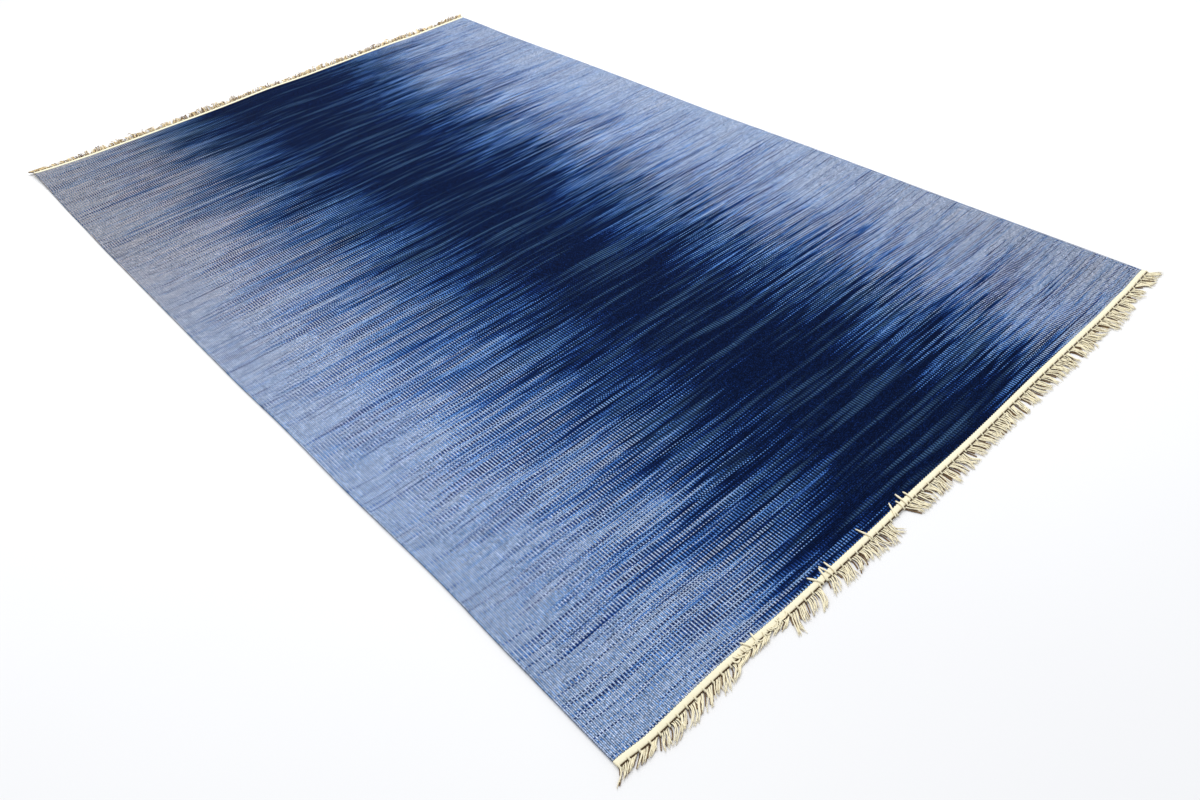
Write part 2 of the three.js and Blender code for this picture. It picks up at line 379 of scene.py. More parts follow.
# Stage, in metres
FLOOR_SIZE = 60.0
FLOOR_LEVEL = -0.0004
FLOOR_COLOURS = ((238, 238, 240), (246, 246, 246))
FLOOR_CLOUD = (0.8, 2.0)
FLOOR_ROUGHNESS = 0.8
WORLD_COLOUR = (0.95, 0.97, 1.0, 1.0)
WORLD_STRENGTH = 0.7

# Lights: name, place, aim, size, power and colour
LIGHTS = [
    ("overhead", (0.8, 1.0, 3.6), (0.0, 0.0, 0.0), 3.5, 110.0, (1.0, 0.99, 0.97)),
    ("far_side", (3.0, 3.2, 2.6), (0.2, 0.4, 0.0), 2.5, 35.0, (0.97, 0.98, 1.0)),
]

# Camera
CAMERA_PLACE = Vector((-1.1087, -1.7106, 1.1901))
CAMERA_RIGHT = Vector((0.7367, -0.6718, -0.0767))
CAMERA_UP = Vector((0.4943, 0.4576, 0.7391))
CAMERA_LENS = 27.774
SENSOR_WIDTH = 36.0
CLIP_END = 200.0


def jitter(index, trait):
    """A repeatable number from -1 to 1 for a bunch of the fringe and one of its traits."""
    wave = math.sin(index * HASH_INDEX + trait * HASH_TRAIT) * HASH_SPREAD
    return 2 * (wave - math.floor(wave)) - 1


# Plan of the field

def stray(edge, along):
    """How far an edge strays outwards at distances along it, eased from row to row."""
    rows = np.array(edge, float)
    after = np.clip(np.searchsorted(rows[:, 0], along), 1, len(rows) - 1)
    last = rows[after - 1]
    following = rows[after]
    share = (along - last[..., 0]) / (following[..., 0] - last[..., 0])
    share = np.clip(share, 0, 1)
    ease = share * share * (3 - 2 * share)
    return last[..., 1] + (following[..., 1] - last[..., 1]) * ease


def field_plan(across, up):
    """Plan points of the field by their fractions across and up."""
    left = -FIELD_WIDTH / 2 - stray(LEFT_EDGE, up * FIELD_LENGTH)
    right = FIELD_WIDTH / 2 + stray(RIGHT_EDGE, up * FIELD_LENGTH)
    near = -FIELD_LENGTH / 2 - stray(NEAR_EDGE, across * FIELD_WIDTH)
    far = FIELD_LENGTH / 2 + stray(FAR_EDGE, across * FIELD_WIDTH)
    x = left + (right - left) * across
    y = near + (far - near) * up
    return x, y


def off_edge(along, out, end):
    """Plan points at distances out from an end of the field."""
    direction = 2 * end - 1
    x, y = field_plan(np.asarray(along, float) / FIELD_WIDTH, np.array(float(end)))
    return x, y + direction * out


def curl(points):
    """Raises points near the far left corner."""
    corner_x, corner_y = field_plan(np.array(0.0), np.array(1.0))
    gap = np.hypot(points[:, 0] - corner_x, points[:, 1] - corner_y)
    share = np.clip(1 - gap / CURL_RADIUS, 0, 1)
    raised = points.copy()
    raised[:, 2] += CURL_HEIGHT * share * share
    return raised


# Mesh making

class Shape:
    """Vertices, faces, per-vertex tones with painted light and shade in them, and shares of painted
    shade of one piece, gathered part by part.
    """

    def __init__(self):
        self.points = []
        self.faces = []
        self.tones = []
        self.painted_shades = []
        self.count = 0

    def add(self, points, faces, tones, painted_shades):
        self.points.append(points)
        self.faces.extend((np.array(face) + self.count).tolist() for face in faces)
        self.tones.append(np.broadcast_to(tones, len(points)))
        self.painted_shades.append(np.broadcast_to(painted_shades, len(points)))
        self.count += len(points)

    def piece(self, name, material):
        points = curl(np.concatenate(self.points))
        mesh = mesh_of(name, points, self.faces)
        spread(mesh, "tone", np.concatenate(self.tones))
        spread(mesh, "painted_shade", np.concatenate(self.painted_shades))
        return show(name, mesh, material)


def mesh_of(name, points, faces):
    """A smooth mesh in metres from points in millimetres."""
    mesh = bpy.data.meshes.new(name)
    mesh.from_pydata((points * MM).tolist(), [], faces)
    mesh.shade_smooth()
    mesh.update()
    return mesh


def spread(mesh, name, values):
    """Writes one number a vertex for the material to read."""
    attribute = mesh.attributes.new(name, "FLOAT", "POINT")
    attribute.data.foreach_set("value", np.asarray(values, np.float32))


def show(name, mesh, material):
    """Puts a mesh with its material into the scene."""
    mesh.materials.append(material)
    piece = bpy.data.objects.new(name, mesh)
    bpy.context.scene.collection.objects.link(piece)
    return piece


def grid_faces(rows, columns, closed):
    """Quads of a grid of vertices, joined round from the last column to the first if closed."""
    index = np.arange(rows * columns).reshape(rows, columns)
    ahead = np.roll(index, -1, axis=1)
    if not closed:
        index = index[:, :-1]
        ahead = ahead[:, :-1]
    quads = np.stack([index[:-1], ahead[:-1], ahead[1:], index[1:]], axis=-1)
    return quads.reshape(-1, 4)


def tube_faces(rings, sides, turned):
    """Faces of a tube with a cap at each end, turned over where its rings run the other way."""
    faces = grid_faces(rings, sides, True).tolist()
    last = (rings - 1) * sides
    faces.append(list(reversed(range(sides))))
    faces.append([last + i for i in range(sides)])
    if turned:
        faces = [face[::-1] for face in faces]
    return faces


def add_tube(shape, route, radius, sides, tone, painted_shade, lobe=0.0, phase=0.0):
    """A closed tube along a route, with two twisted lobes where a lobe depth is given, and painted shade
    on its underside.
    """
    tangent = np.gradient(route, axis=0)
    tangent /= np.linalg.norm(tangent, axis=1, keepdims=True)
    side = np.cross(tangent, (0.0, 0.0, 1.0))
    side /= np.linalg.norm(side, axis=1, keepdims=True)
    rise = np.cross(side, tangent)
    steps = np.linalg.norm(np.diff(route, axis=0), axis=1)
    run = np.concatenate([[0], np.cumsum(steps)])
    angle = np.arange(sides) * 2 * math.pi / sides
    twist = phase + 2 * math.pi * run / STRAND_TURN
    wave = np.cos(2 * (angle[None, :] - twist[:, None]))
    reach = np.broadcast_to(radius, len(route))[:, None] * (1 + lobe * wave)
    ring = route[:, None, :]
    ring = ring + (reach * np.cos(angle))[..., None] * side[:, None, :]
    ring = ring + (reach * np.sin(angle))[..., None] * rise[:, None, :]
    ring[..., 2] = np.maximum(ring[..., 2], FLOOR_CLEARANCE)
    # Painted shade: each tube's underside is darker
    underside_shade = UNDERSIDE_SHADE * ((1 - np.sin(angle)) / 2) ** UNDERSIDE_EASING
    tones = (np.broadcast_to(tone, len(route))[:, None] - underside_shade[None, :]).ravel()
    painted_shades = np.repeat(np.broadcast_to(painted_shade, len(route)), sides)
    shape.add(ring.reshape(-1, 3), tube_faces(len(route), sides, True), tones, painted_shades)


# Field

def field_columns():
    """Numbers of the columns of vertices across the field, and their fractions across."""
    columns = np.arange(RIB_COUNT * COLUMNS_PER_RIB + 1)
    return columns, columns / columns[-1]


def field_heights(columns, across):
    """Top and bottom heights of the field's columns: ribs, and a cord along each side."""
    crest = (columns % COLUMNS_PER_RIB != 0).astype(float)
    top = FIELD_THICKNESS - RIB_DEPTH * (1 - crest)
    bottom = RIB_DEPTH * (1 - crest)
    inwards = np.minimum(across, 1 - across) * FIELD_WIDTH / SELVEDGE_WIDTH
    bulge = np.sqrt(np.clip(1 - (2 * inwards - 1) ** 2, 0, 1))
    bulge = np.maximum(bulge, SELVEDGE_LEAST)
    middle = SELVEDGE_TOP / 2
    corded = inwards < 1
    outer = inwards < 0.5
    top = np.where(corded, middle + middle * bulge, top)
    bottom = np.where(corded, 0, bottom)
    bottom = np.where(outer, middle - middle * bulge, bottom)
    return top, bottom


def build_field(material):
    columns, across = field_columns()
    rim_share = RIM / FIELD_LENGTH
    inner = np.linspace(rim_share, 1 - rim_share, FIELD_ROWS - 2)
    up = np.concatenate([[0], inner, [1]])
    x, y = field_plan(across[None, :], up[:, None])
    top, bottom = field_heights(columns, across)
    upper = np.stack([x, y, np.broadcast_to(top, x.shape)], axis=-1).reshape(-1, 3)
    lower = np.stack([x, y, np.broadcast_to(bottom, x.shape)], axis=-1).reshape(-1, 3)
    quads = grid_faces(FIELD_ROWS, len(columns), False)
    size = len(upper)
    index = np.arange(size).reshape(FIELD_ROWS, -1)
    rim = np.concatenate([index[0, :-1], index[:-1, -1], index[-1, :0:-1], index[:0:-1, 0]])
    ahead = np.roll(rim, -1)
    walls = np.stack([rim, rim + size, ahead + size, ahead], axis=-1)
    faces = np.concatenate([quads, quads[:, ::-1] + size, walls])
    mesh = mesh_of("field_cloth", curl(np.concatenate([upper, lower])), faces.tolist())
    weave = np.stack(np.broadcast_arrays(across * RIB_COUNT, up[:, None] * PICK_COUNT), axis=-1)
    weave = np.tile(weave.reshape(-1, 2), (2, 1))
    layer = mesh.uv_layers.new(name="weave")
    layer.data.foreach_set("uv", weave[faces.ravel()].astype(np.float32).ravel())
    return show("field_cloth", mesh, material)


# Heading

def build_heading(name, end, material):
    columns, across = field_columns()
    crest = columns % COLUMNS_PER_RIB != 0
    tooth = (columns // COLUMNS_PER_RIB) % 2
    section = np.array(HEADING_SECTION)
    middle = section.mean(axis=0)
    shrink = np.where(crest, 0.0, HEADING_RIB)
    rings = []
    for number, (out, height) in enumerate(section):
        reach = np.hypot(out - middle[0], height - middle[1])
        outs = out - shrink * (out - middle[0]) / reach
        heights = height - shrink * (height - middle[1]) / reach
        if number in TOOTH_POINTS:
            outs = outs - TOOTH_DEPTH * tooth * crest
        x, y = off_edge(across * FIELD_WIDTH, outs, end)
        rings.append(np.stack([x, y, heights], axis=-1))
    points = np.stack(rings, axis=1).reshape(-1, 3)
    faces = tube_faces(len(columns), len(section), end == FAR)
    # Painted shade: the heading is darker under its outer edge than on top
    tones = np.tile(HEADING_SHADE, len(columns))
    shape = Shape()
    shape.add(points, faces, tones, 0.0)
    add_stitches(shape, end)
    return shape.piece(name, material)


def add_stitches(shape, end):
    """The overcast stitch between neighbouring bunches, over the heading's outer edge."""
    for number in range(BUNCH_COUNT + 1):
        along = min(max(number * BUNCH_PITCH, STITCH_RADIUS), FIELD_WIDTH - STITCH_RADIUS)
        route = []
        for out, height in STITCH_ROUTE:
            x, y = off_edge(along, out, end)
            route.append((x, y, height))
        add_tube(shape, np.array(route), STITCH_RADIUS, STITCH_SIDES, STITCH_TONE, 0.0)


# Fringe

class Bunch:
    """A bunch of the fringe: where it leaves the heading, how far it leans and reaches out,
    and its own gathering, bow, tone (paler with painted light towards the right of the near end), lift
    and length."""

    def __init__(self, rng, end, along, tip, out):
        even = (1 - end) * np.clip((along - EVEN_START) / EVEN_SPAN, 0, 1)
        self.along = along
        self.lean = tip - along
        self.out = out
        self.gather = rng.uniform(*GATHER)
        self.bow = rng.uniform(-BOW, BOW)
        # Painted light: paler towards the right of the near end
        self.tone = rng.uniform(-BUNCH_TONE[end], BUNCH_TONE[end]) + EVEN_PAINTED_LIGHT * even
        self.lift = rng.uniform(*LIFT)
        self.trim = 1 + rng.uniform(*TRIM) * (1 - EVEN_TRIM * even)


def bunches_of(clumps, end):
    """The bunches of one end: root, tip and reach, with the tips kept in order."""
    bunches = []
    last_tip = -math.inf
    for number in range(BUNCH_COUNT):
        along = (number + 0.5) * BUNCH_PITCH
        _, clump_lean, clump_length = [row for row in clumps if row[0] <= along][-1]
        if clump_length == 0 and end == FAR:
            clump_length = STUB_LENGTH
        if clump_length > 0:
            lean = math.radians(clump_lean + LEAN_SPREAD * jitter(number, LEAN_TRAIT + end))
            length = clump_length + LENGTH_SPREAD * jitter(number, LENGTH_TRAIT + end)
            tip = max(along + length * math.sin(lean), last_tip + LEAST_TIP_SPACING)
            bunches.append((along, tip, length * math.cos(lean)))
            last_tip = tip
    return bunches


def add_strand(shape, rng, bunch, number, end):
    """One twisted warp end of a bunch, from inside the heading to its frayed tip."""
    shaded = number % 2
    side = ((number + 0.5) / STRANDS_PER_BUNCH[end] - 0.5) * BUNCH_WIDTH
    tip_side = side * bunch.gather + rng.uniform(-TIP_SCATTER, TIP_SCATTER)
    part = np.linspace(0, 1, STRAND_STEPS)
    reach = bunch.out * bunch.trim * rng.uniform(*STRAND_REACH)
    run = -ROOT_DEPTH + (reach + ROOT_DEPTH) * part
    share = np.clip(run / bunch.out, 0, None)
    inside = np.clip(share, 0, 1)
    drift = bunch.lean * share ** LEAN_EASING + side + (tip_side - side) * share
    wave = np.sin(2 * math.pi * (share * rng.uniform(*WIGGLE_TURNS) + rng.uniform(0, 1)))
    drift = drift + rng.uniform(*WIGGLE_SHARE) * WIGGLE * share * wave
    drift = drift + bunch.bow * np.sin(math.pi * inside)
    x, y = off_edge(bunch.along, PIECE_GAP + HEADING_WIDTH + run, end)
    level = HIGH_LAYER + rng.uniform(*LAYER_SCATTER) - SHADED_DROP * shaded
    settle = level + (STRAND_RADIUS - level) * share ** 2 * rng.uniform(*SETTLING)
    calm = np.clip(bunch.along / CURL_RADIUS, LEAST_LOFT[end], 1)
    loft = LOFT[end] * calm * bunch.lift * rng.uniform(0, 1)
    height = np.clip(settle, STRAND_RADIUS, None) + loft * np.sin(math.pi * inside ** LOFT_EASING)
    route = np.stack([x + drift, y, height], axis=-1)
    radius = STRAND_RADIUS * rng.uniform(*STRAND_THICKNESS) * np.interp(part, *STRAND_TAPER)
    # The tone paints shade on every other, lower strand
    tone = STRAND_TONE[end] + rng.uniform(*TONE_SCATTER[end]) + SHADED_TONE * shaded + bunch.tone
    # Painted shadow on the root, under the heading's outer edge
    painted_shade = np.interp(run, ROOT_SHADE_RUN, ROOT_SHADE)
    phase = rng.uniform(0, math.pi)
    add_tube(shape, route, radius, STRAND_SIDES, tone, painted_shade, STRAND_LOBE, phase)
    add_fibres(shape, rng, route, tone)


def add_fibres(shape, rng, route, tone):
    """The loose fibres at a strand's tip."""
    direction = route[-1] - route[-3]
    direction /= np.linalg.norm(direction)
    for _ in range(FIBRES_PER_STRAND):
        splay = np.array([rng.uniform(*limits) for limits in FIBRE_SPLAY])
        steps = np.linspace(0, FIBRE_LENGTH * rng.uniform(*FIBRE_SCATTER), FIBRE_STEPS)
        fibre = route[-1] + steps[:, None] * (direction + splay)
        fibre[:, 2] = np.clip(fibre[:, 2], FIBRE_RADIUS, None)
        add_tube(shape, fibre, FIBRE_RADIUS, FIBRE_SIDES, tone, 0.0)


def add_under_strand(shape, rng, bunch, number, end):
    """A strand under a bunch, darkened brown as painted shade, which shows in the gaps."""
    side = (number / UNDER_STRANDS - 0.5) * BUNCH_PITCH
    side = side + rng.uniform(-UNDER_SCATTER, UNDER_SCATTER)
    share = np.linspace(0, rng.uniform(*UNDER_REACH), UNDER_STEPS)
    drift = bunch.lean * share ** LEAN_EASING + side * (1 + (bunch.gather - 1) * share)
    drift = drift + bunch.bow * np.sin(math.pi * share)
    x, y = off_edge(bunch.along, PIECE_GAP + HEADING_WIDTH + bunch.out * share, end)
    route = np.stack([x + drift, y, np.full(UNDER_STEPS, UNDER_RADIUS)], axis=-1)
    # Painted shade, strongest at the root
    painted_shade = np.linspace(*UNDER_PAINTED_SHADE, UNDER_STEPS)
    add_tube(shape, route, UNDER_RADIUS, UNDER_SIDES, UNDER_SHADED_TONE, painted_shade)


def add_shadow_dash(shape, along, end):
    """A dark strip of painted shadow under the heading's outer edge, over a bunch's root."""
    reach = np.linspace(-DASH_LENGTH / 2, DASH_LENGTH / 2, DASH_STEPS)
    x, y = off_edge(along + reach, DASH_OUT, end)
    route = np.stack([x, y, np.full(DASH_STEPS, DASH_HEIGHT)], axis=-1)
    add_tube(shape, route, DASH_RADIUS, DASH_SIDES, DASH_TONE, DASH_SHADE)


def add_loose(shape, rng, route, radius, tones):
    """A twisted strand that lies loose on the near heading."""
    tone = rng.uniform(*tones)
    phase = rng.uniform(0, LOOSE_PHASE)
    add_tube(shape, route, radius, STRAND_SIDES, tone, 0.0, STRAND_LOBE, phase)


def add_flipped(shape, rng, row):
    """A strand that comes out under the near heading and lies back over it onto the field."""
    at, lean, reach = row
    ending = [(-share * reach, height) for share, height in FLIPPED_ENDING]
    outs, heights = np.array(FLIPPED_START + ending).T
    drift = (HEADING_WIDTH - np.minimum(outs, HEADING_WIDTH)) * math.tan(math.radians(lean))
    x, y = off_edge(at, outs, NEAR)
    route = np.stack([x + drift, y, heights], axis=-1)
    radius = np.full(len(route), FLIPPED_RADIUS)
    radius[-1] *= LOOSE_TIP
    add_loose(shape, rng, route, radius, FLIPPED_TONE)


def add_tangled(shape, rng):
    """A strand of the tangle: out from under the heading, round, and back along its top."""
    at = rng.uniform(*TANGLE)
    sweep = rng.uniform(*TANGLE_REACH) * rng.choice(TANGLE_WAYS)
    turn = np.linspace(0, math.pi, TANGLE_STEPS)
    share = turn / math.pi
    out, height = TANGLE_START
    outs = out + rng.uniform(*TANGLE_LOOP) * np.sin(turn) - rng.uniform(*TANGLE_RETURN) * share
    along = at + sweep * (1 - np.cos(turn)) / 2
    heights = height + rng.uniform(*TANGLE_CLIMB) * share + TANGLE_HUMP * np.sin(turn)
    x, y = off_edge(along, outs, NEAR)
    route = np.stack([x, y, heights], axis=-1)
    radius = STRAND_RADIUS * np.interp(turn, *TANGLE_TAPER)
    add_loose(shape, rng, route, radius, TANGLE_TONE)


def build_fringe(name, end, clumps, flipped, material):
    rng = np.random.default_rng(SEED + end)
    shape = Shape()
    for along, tip, out in bunches_of(clumps, end):
        bunch = Bunch(rng, end, along, tip, out)
        for number in range(UNDER_STRANDS):
            add_under_strand(shape, rng, bunch, number, end)
        for number in range(STRANDS_PER_BUNCH[end]):
            add_strand(shape, rng, bunch, number, end)
    for number in range(BUNCH_COUNT):
        add_shadow_dash(shape, (number + 0.5) * BUNCH_PITCH, end)
    for row in flipped:
        add_flipped(shape, rng, row)
    if flipped:
        for _ in range(TANGLE_STRANDS):
            add_tangled(shape, rng)
    return shape.piece(name, material)


# Materials

def srgb(red, green, blue):
    """A linear colour from eight-bit screen values."""
    colour = Color((red / 255, green / 255, blue / 255))
    return (*colour.from_srgb_to_scene_linear(), 1.0)


class Graph:
    """Short ways to add linked shader nodes to a new material."""

    def __init__(self, name):
        self.material = bpy.data.materials.new(name)
        self.material.use_nodes = True
        self.tree = self.material.node_tree
        self.shader = self.tree.nodes["Principled BSDF"]

    def add(self, kind, **settings):
        node = self.tree.nodes.new(kind)
        for key, value in settings.items():
            setattr(node, key, value)
        return node

    def feed(self, socket, value):
        if isinstance(value, bpy.types.NodeSocket):
            self.tree.links.new(value, socket)
        else:
            socket.default_value = value

    def math(self, operation, *values):
        node = self.add("ShaderNodeMath", operation=operation)
        for socket, value in zip(node.inputs, values):
            self.feed(socket, value)
        return node.outputs[0]

    def plus(self, *values):
        total = values[0]
        for value in values[1:]:
            total = self.math("ADD", total, value)
        return total

    def minus(self, first, second):
        return self.math("SUBTRACT", first, second)

    def times(self, *values):
        total = values[0]
        for value in values[1:]:
            total = self.math("MULTIPLY", total, value)
        return total

    def between(self, first, second, share):
        """A number on the way from the first to the second."""
        return self.plus(first, self.times(self.minus(second, first), share))

    def remap(self, value, low, high, to_low=0.0, to_high=1.0):
        """An eased ramp that holds its first and last values outside its range."""
        node = self.add("ShaderNodeMapRange", interpolation_type="SMOOTHSTEP")
        for socket, item in zip(node.inputs, (value, low, high, to_low, to_high)):
            self.feed(socket, item)
        return node.outputs[0]

    def point(self, x, y, z=0.0):
        node = self.add("ShaderNodeCombineXYZ")
        for socket, value in zip(node.inputs, (x, y, z)):
            self.feed(socket, value)
        return node.outputs[0]

    def parts(self, vector):
        node = self.add("ShaderNodeSeparateXYZ")
        self.feed(node.inputs[0], vector)
        return node.outputs

    def noise(self, vector, scale, detail):
        """Smooth noise about nought."""
        node = self.add("ShaderNodeTexNoise", noise_dimensions="3D")
        self.feed(node.inputs["Vector"], vector)
        node.inputs["Scale"].default_value = scale
        node.inputs["Detail"].default_value = detail
        return self.minus(node.outputs[0], 0.5)

    def random(self, vector):
        """A number from 0 to 1 that differs from point to point."""
        node = self.add("ShaderNodeTexWhiteNoise", noise_dimensions="3D")
        self.feed(node.inputs["Vector"], vector)
        return node.outputs[0]

    def cells(self, vector):
        """A number from 0 to 1 that is the same all over an uneven cell."""
        node = self.add("ShaderNodeTexVoronoi", voronoi_dimensions="2D")
        self.feed(node.inputs["Vector"], vector)
        node.inputs["Scale"].default_value = 1.0
        split = self.add("ShaderNodeSeparateColor")
        self.feed(split.inputs[0], node.outputs["Color"])
        return split.outputs[0]

    def ramp(self, value, stops):
        node = self.add("ShaderNodeValToRGB")
        elements = node.color_ramp.elements
        while len(elements) < len(stops):
            elements.new(0.5)
        for element, (place, colour) in zip(elements, stops):
            element.position = place
            element.color = srgb(*colour)
        self.feed(node.inputs[0], value)
        return node.outputs[0]

    def mix(self, share, first, second, blend="MIX"):
        node = self.add("ShaderNodeMix", data_type="RGBA", blend_type=blend)
        self.feed(node.inputs[MIX_SHARE], share)
        self.feed(node.inputs[MIX_FIRST], first)
        self.feed(node.inputs[MIX_SECOND], second)
        return node.outputs[MIX_RESULT]

    def shade(self, colour, share):
        """A colour darkened to a share of its brightness."""
        return self.mix(1.0, colour, self.point(share, share, share), "MULTIPLY")

    def bump(self, height, strength, distance):
        node = self.add("ShaderNodeBump")
        node.inputs["Strength"].default_value = strength
        node.inputs["Distance"].default_value = distance
        self.feed(node.inputs["Height"], height)
        self.feed(self.shader.inputs["Normal"], node.outputs[0])

    def finish(self, colour, roughness, sheen=0.0):
        self.feed(self.shader.inputs["Base Color"], colour)
        self.shader.inputs["Roughness"].default_value = roughness
        self.shader.inputs["Sheen Weight"].default_value = sheen
        self.shader.inputs["Specular IOR Level"].default_value = SPECULAR
        return self.material


class Weave(Graph):
    """The field's material: stitches of a deep and a light yarn, dark along the middle."""

    def __init__(self):
        super().__init__("indigo_weave")
        uv = self.add("ShaderNodeUVMap", uv_map="weave").outputs[0]
        self.ribs, self.picks, _ = self.parts(uv)
        self.find_stitch()
        self.find_place()
        self.speck = self.specks()
        colour = self.ramp(self.plus(self.yarn_shade(), self.heather()), INDIGO)
        colour = self.tinted(self.flecked(colour))
        rise = self.relief()
        # Painted shade in the hollows between stitches and painted light on their crowns
        colour = self.shade(colour, self.plus(HOLLOW_SHADE, self.times(rise, CROWN_LIGHT)))
        self.finish(colour, WEAVE_ROUGHNESS)

    def find_stitch(self):
        """Each rib shows every other pick, and neighbouring ribs show the other ones."""
        self.rib = self.math("FLOOR", self.ribs)
        self.in_rib = self.math("FRACT", self.ribs)
        self.odd = self.math("MODULO", self.rib, 2.0)
        slant = self.times(self.minus(self.in_rib, 0.5), STITCH_SLANT)
        half = self.times(self.minus(self.plus(self.picks, slant), self.odd), 0.5)
        self.in_stitch = self.math("FRACT", half)
        self.pick = self.plus(self.times(self.math("FLOOR", half), 2.0), self.odd)

    def find_place(self):
        """Where a stitch lies, in millimetres, how far that is from the dark line, and whether
        the deep yarn has its turn there."""
        self.across = self.times(self.plus(self.rib, 0.5), RIB_PITCH)
        self.along = self.times(self.pick, PICK_PITCH)
        self.right = self.remap(self.across, *RIGHT_PART)
        self.from_centre = self.minus(self.across, self.remap(self.along, *OMBRE_CENTRE))
        self.off = self.math("ABSOLUTE", self.from_centre)
        self.side = self.times(self.math("SIGN", self.from_centre), SIDE_STEP)
        near_end = self.remap(self.along, *NEAR_WIDENING)
        far_end = self.remap(self.along, *FAR_WIDENING)
        self.away = self.minus(self.times(self.off, 1 / OMBRE_REACH), self.plus(near_end, far_end))
        lead = self.cells(self.point(self.side, self.times(self.along, 1 / LEAD_LENGTH)))
        deep_leads = self.math("GREATER_THAN", lead, 0.5)
        self.deep_turn = self.math("ABSOLUTE", self.minus(self.odd, deep_leads))

    def patchy(self, x, noise):
        """A noise over the field with the given distance across."""
        shares = (self.times(x, 1 / noise.across), self.times(self.along, 1 / noise.along))
        value = self.noise(self.point(*shares, noise.seed), 1.0, noise.detail)
        return self.times(value, noise.strength)

    def sparse(self, x, noise):
        """The same, but near nought in most places."""
        value = self.patchy(x, noise)
        return self.times(value, self.math("ABSOLUTE", value), 1 / noise.strength)

    def stray_pick(self, seed, power, strength):
        """A number for each pick and side, near nought for all but a few."""
        chance = self.random(self.point(self.pick, self.side, seed))
        return self.times(self.math("POWER", chance, power), strength)

    def darkness(self):
        """How dark a stitch is, from 0 to 1. The deep yarn stays dark further out than the light
        one, and how far changes slowly along the rug, in streaks and from pick to pick. Streaks
        are faint in the dark middle, and out on the left they show mostly in the deep yarn."""
        broad = self.patchy(self.off, BROAD)
        streak = self.sparse(self.across, STREAK)
        wander = self.sparse(self.across, WANDER)
        long_streak = self.times(self.sparse(self.across, LONG_STREAK), self.right)
        streaks = self.plus(streak, wander, long_streak)
        streaks = self.times(streaks, self.remap(self.away, *CALM))

        deep_band = self.patchy(self.from_centre, DEEP_BAND)
        deep_end = self.plus(DEEP_REACH, broad, streaks, deep_band, self.stray_pick(*OUTRUN))
        deep_dark = self.remap(self.minus(deep_end, self.away), -DEEP_EDGE, DEEP_EDGE)

        band_share = self.remap(self.across, *RIGHT_PART, 1.0, RIGHT_BAND)
        light_band = self.times(self.patchy(self.from_centre, LIGHT_BAND), band_share)
        light_thread = self.sparse(self.across, LIGHT_THREAD)
        light_own = self.plus(light_band, light_thread, self.stray_pick(*INRUN))
        light_own = self.times(light_own, self.remap(self.away, *LIGHT_CALM))
        right_solid = self.times(self.right, RIGHT_SOLID)
        solid = self.math("MAXIMUM", self.remap(self.away, *SOLID), right_solid)
        light_end = self.plus(LIGHT_START, broad, self.times(streaks, solid), light_own)
        edge = self.remap(self.across, *RIGHT_PART, *LIGHT_EDGE)
        light_lead = self.minus(light_end, self.away)
        light_dark = self.remap(light_lead, self.times(edge, -1.0), edge)
        return self.between(light_dark, deep_dark, self.deep_turn)

    def yarn_shade(self):
        """Both yarns pale towards the sides, and the light one has faint ribs and lines."""
        deep = self.remap(self.away, *DEEP_SHADE)
        light = self.remap(self.away, *LIGHT_SHADE)
        ribbed = self.times(self.minus(self.deep_turn, 0.5), RIB_CONTRAST)
        light = self.plus(light, ribbed, self.patchy(self.across, LINES))
        return self.between(light, deep, self.darkness())

    def speckle(self, x, y, seed, strength):
        """Specks about nought, one for each point."""
        chance = self.random(self.point(x, y, seed))
        return self.times(self.minus(chance, 0.5), strength)

    def celled(self, cells_a_rib, cells_a_pick, seed, strength):
        """Specks about nought, one for each cell of a grid."""
        x = self.math("FLOOR", self.times(self.ribs, cells_a_rib))
        y = self.math("FLOOR", self.times(self.picks, cells_a_pick))
        return self.speckle(x, y, seed, strength)

    def specks(self):
        """The yarn's own unevenness, about nought."""
        stitches = self.speckle(self.rib, self.pick, *STITCH_SPECK)
        return self.plus(self.celled(*FINE_SPECK), stitches, self.celled(*PATCH_SPECK))

    def heather(self):
        """How much the specks change the shade, most in the dark middle."""
        return self.times(self.speck, self.remap(self.away, *HEATHER))

    def flecked(self, colour):
        """A colour with teal flecks in the dark middle, mostly in the light yarn's stitches."""
        share = self.remap(self.patchy(self.across, LENS), *LENS_EDGE)
        fade = self.remap(self.away, *LENS_FADE)
        dotted = self.minus(1.0, self.times(self.deep_turn, LENS_DOTS))
        grained = self.plus(1.0, self.times(self.speck, LENS_GRAIN))
        return self.mix(self.times(share, fade, dotted, grained), colour, srgb(*TEAL))

    def tinted(self, colour):
        """A colour given a warm grey cast of painted light towards the far left and the right side,
        painted shade darker at both ends, and uneven with the yarn's specks."""
        left = self.times(self.remap(self.across, *GREY_LEFT), self.remap(self.along, *GREY_LEFT_RUN))
        right = self.times(self.remap(self.across, *GREY_RIGHT), self.remap(self.along, *GREY_RIGHT_RUN))
        # Painted light: a warm grey cast
        greyed = self.mix(1.0, colour, srgb(*WARM_LIGHT_TINT), "MULTIPLY")
        colour = self.mix(self.plus(self.times(left, GREY_LEFT_SHARE), right), colour, greyed)
        # Painted shade: darker towards both ends
        fade = self.plus(self.remap(self.along, *NEAR_END_SHADE), self.remap(self.along, *FAR_END_SHADE))
        colour = self.shade(colour, fade)
        uneven = self.times(self.speck, self.remap(self.away, *UNEVENNESS))
        return self.shade(colour, self.plus(1.0, uneven))

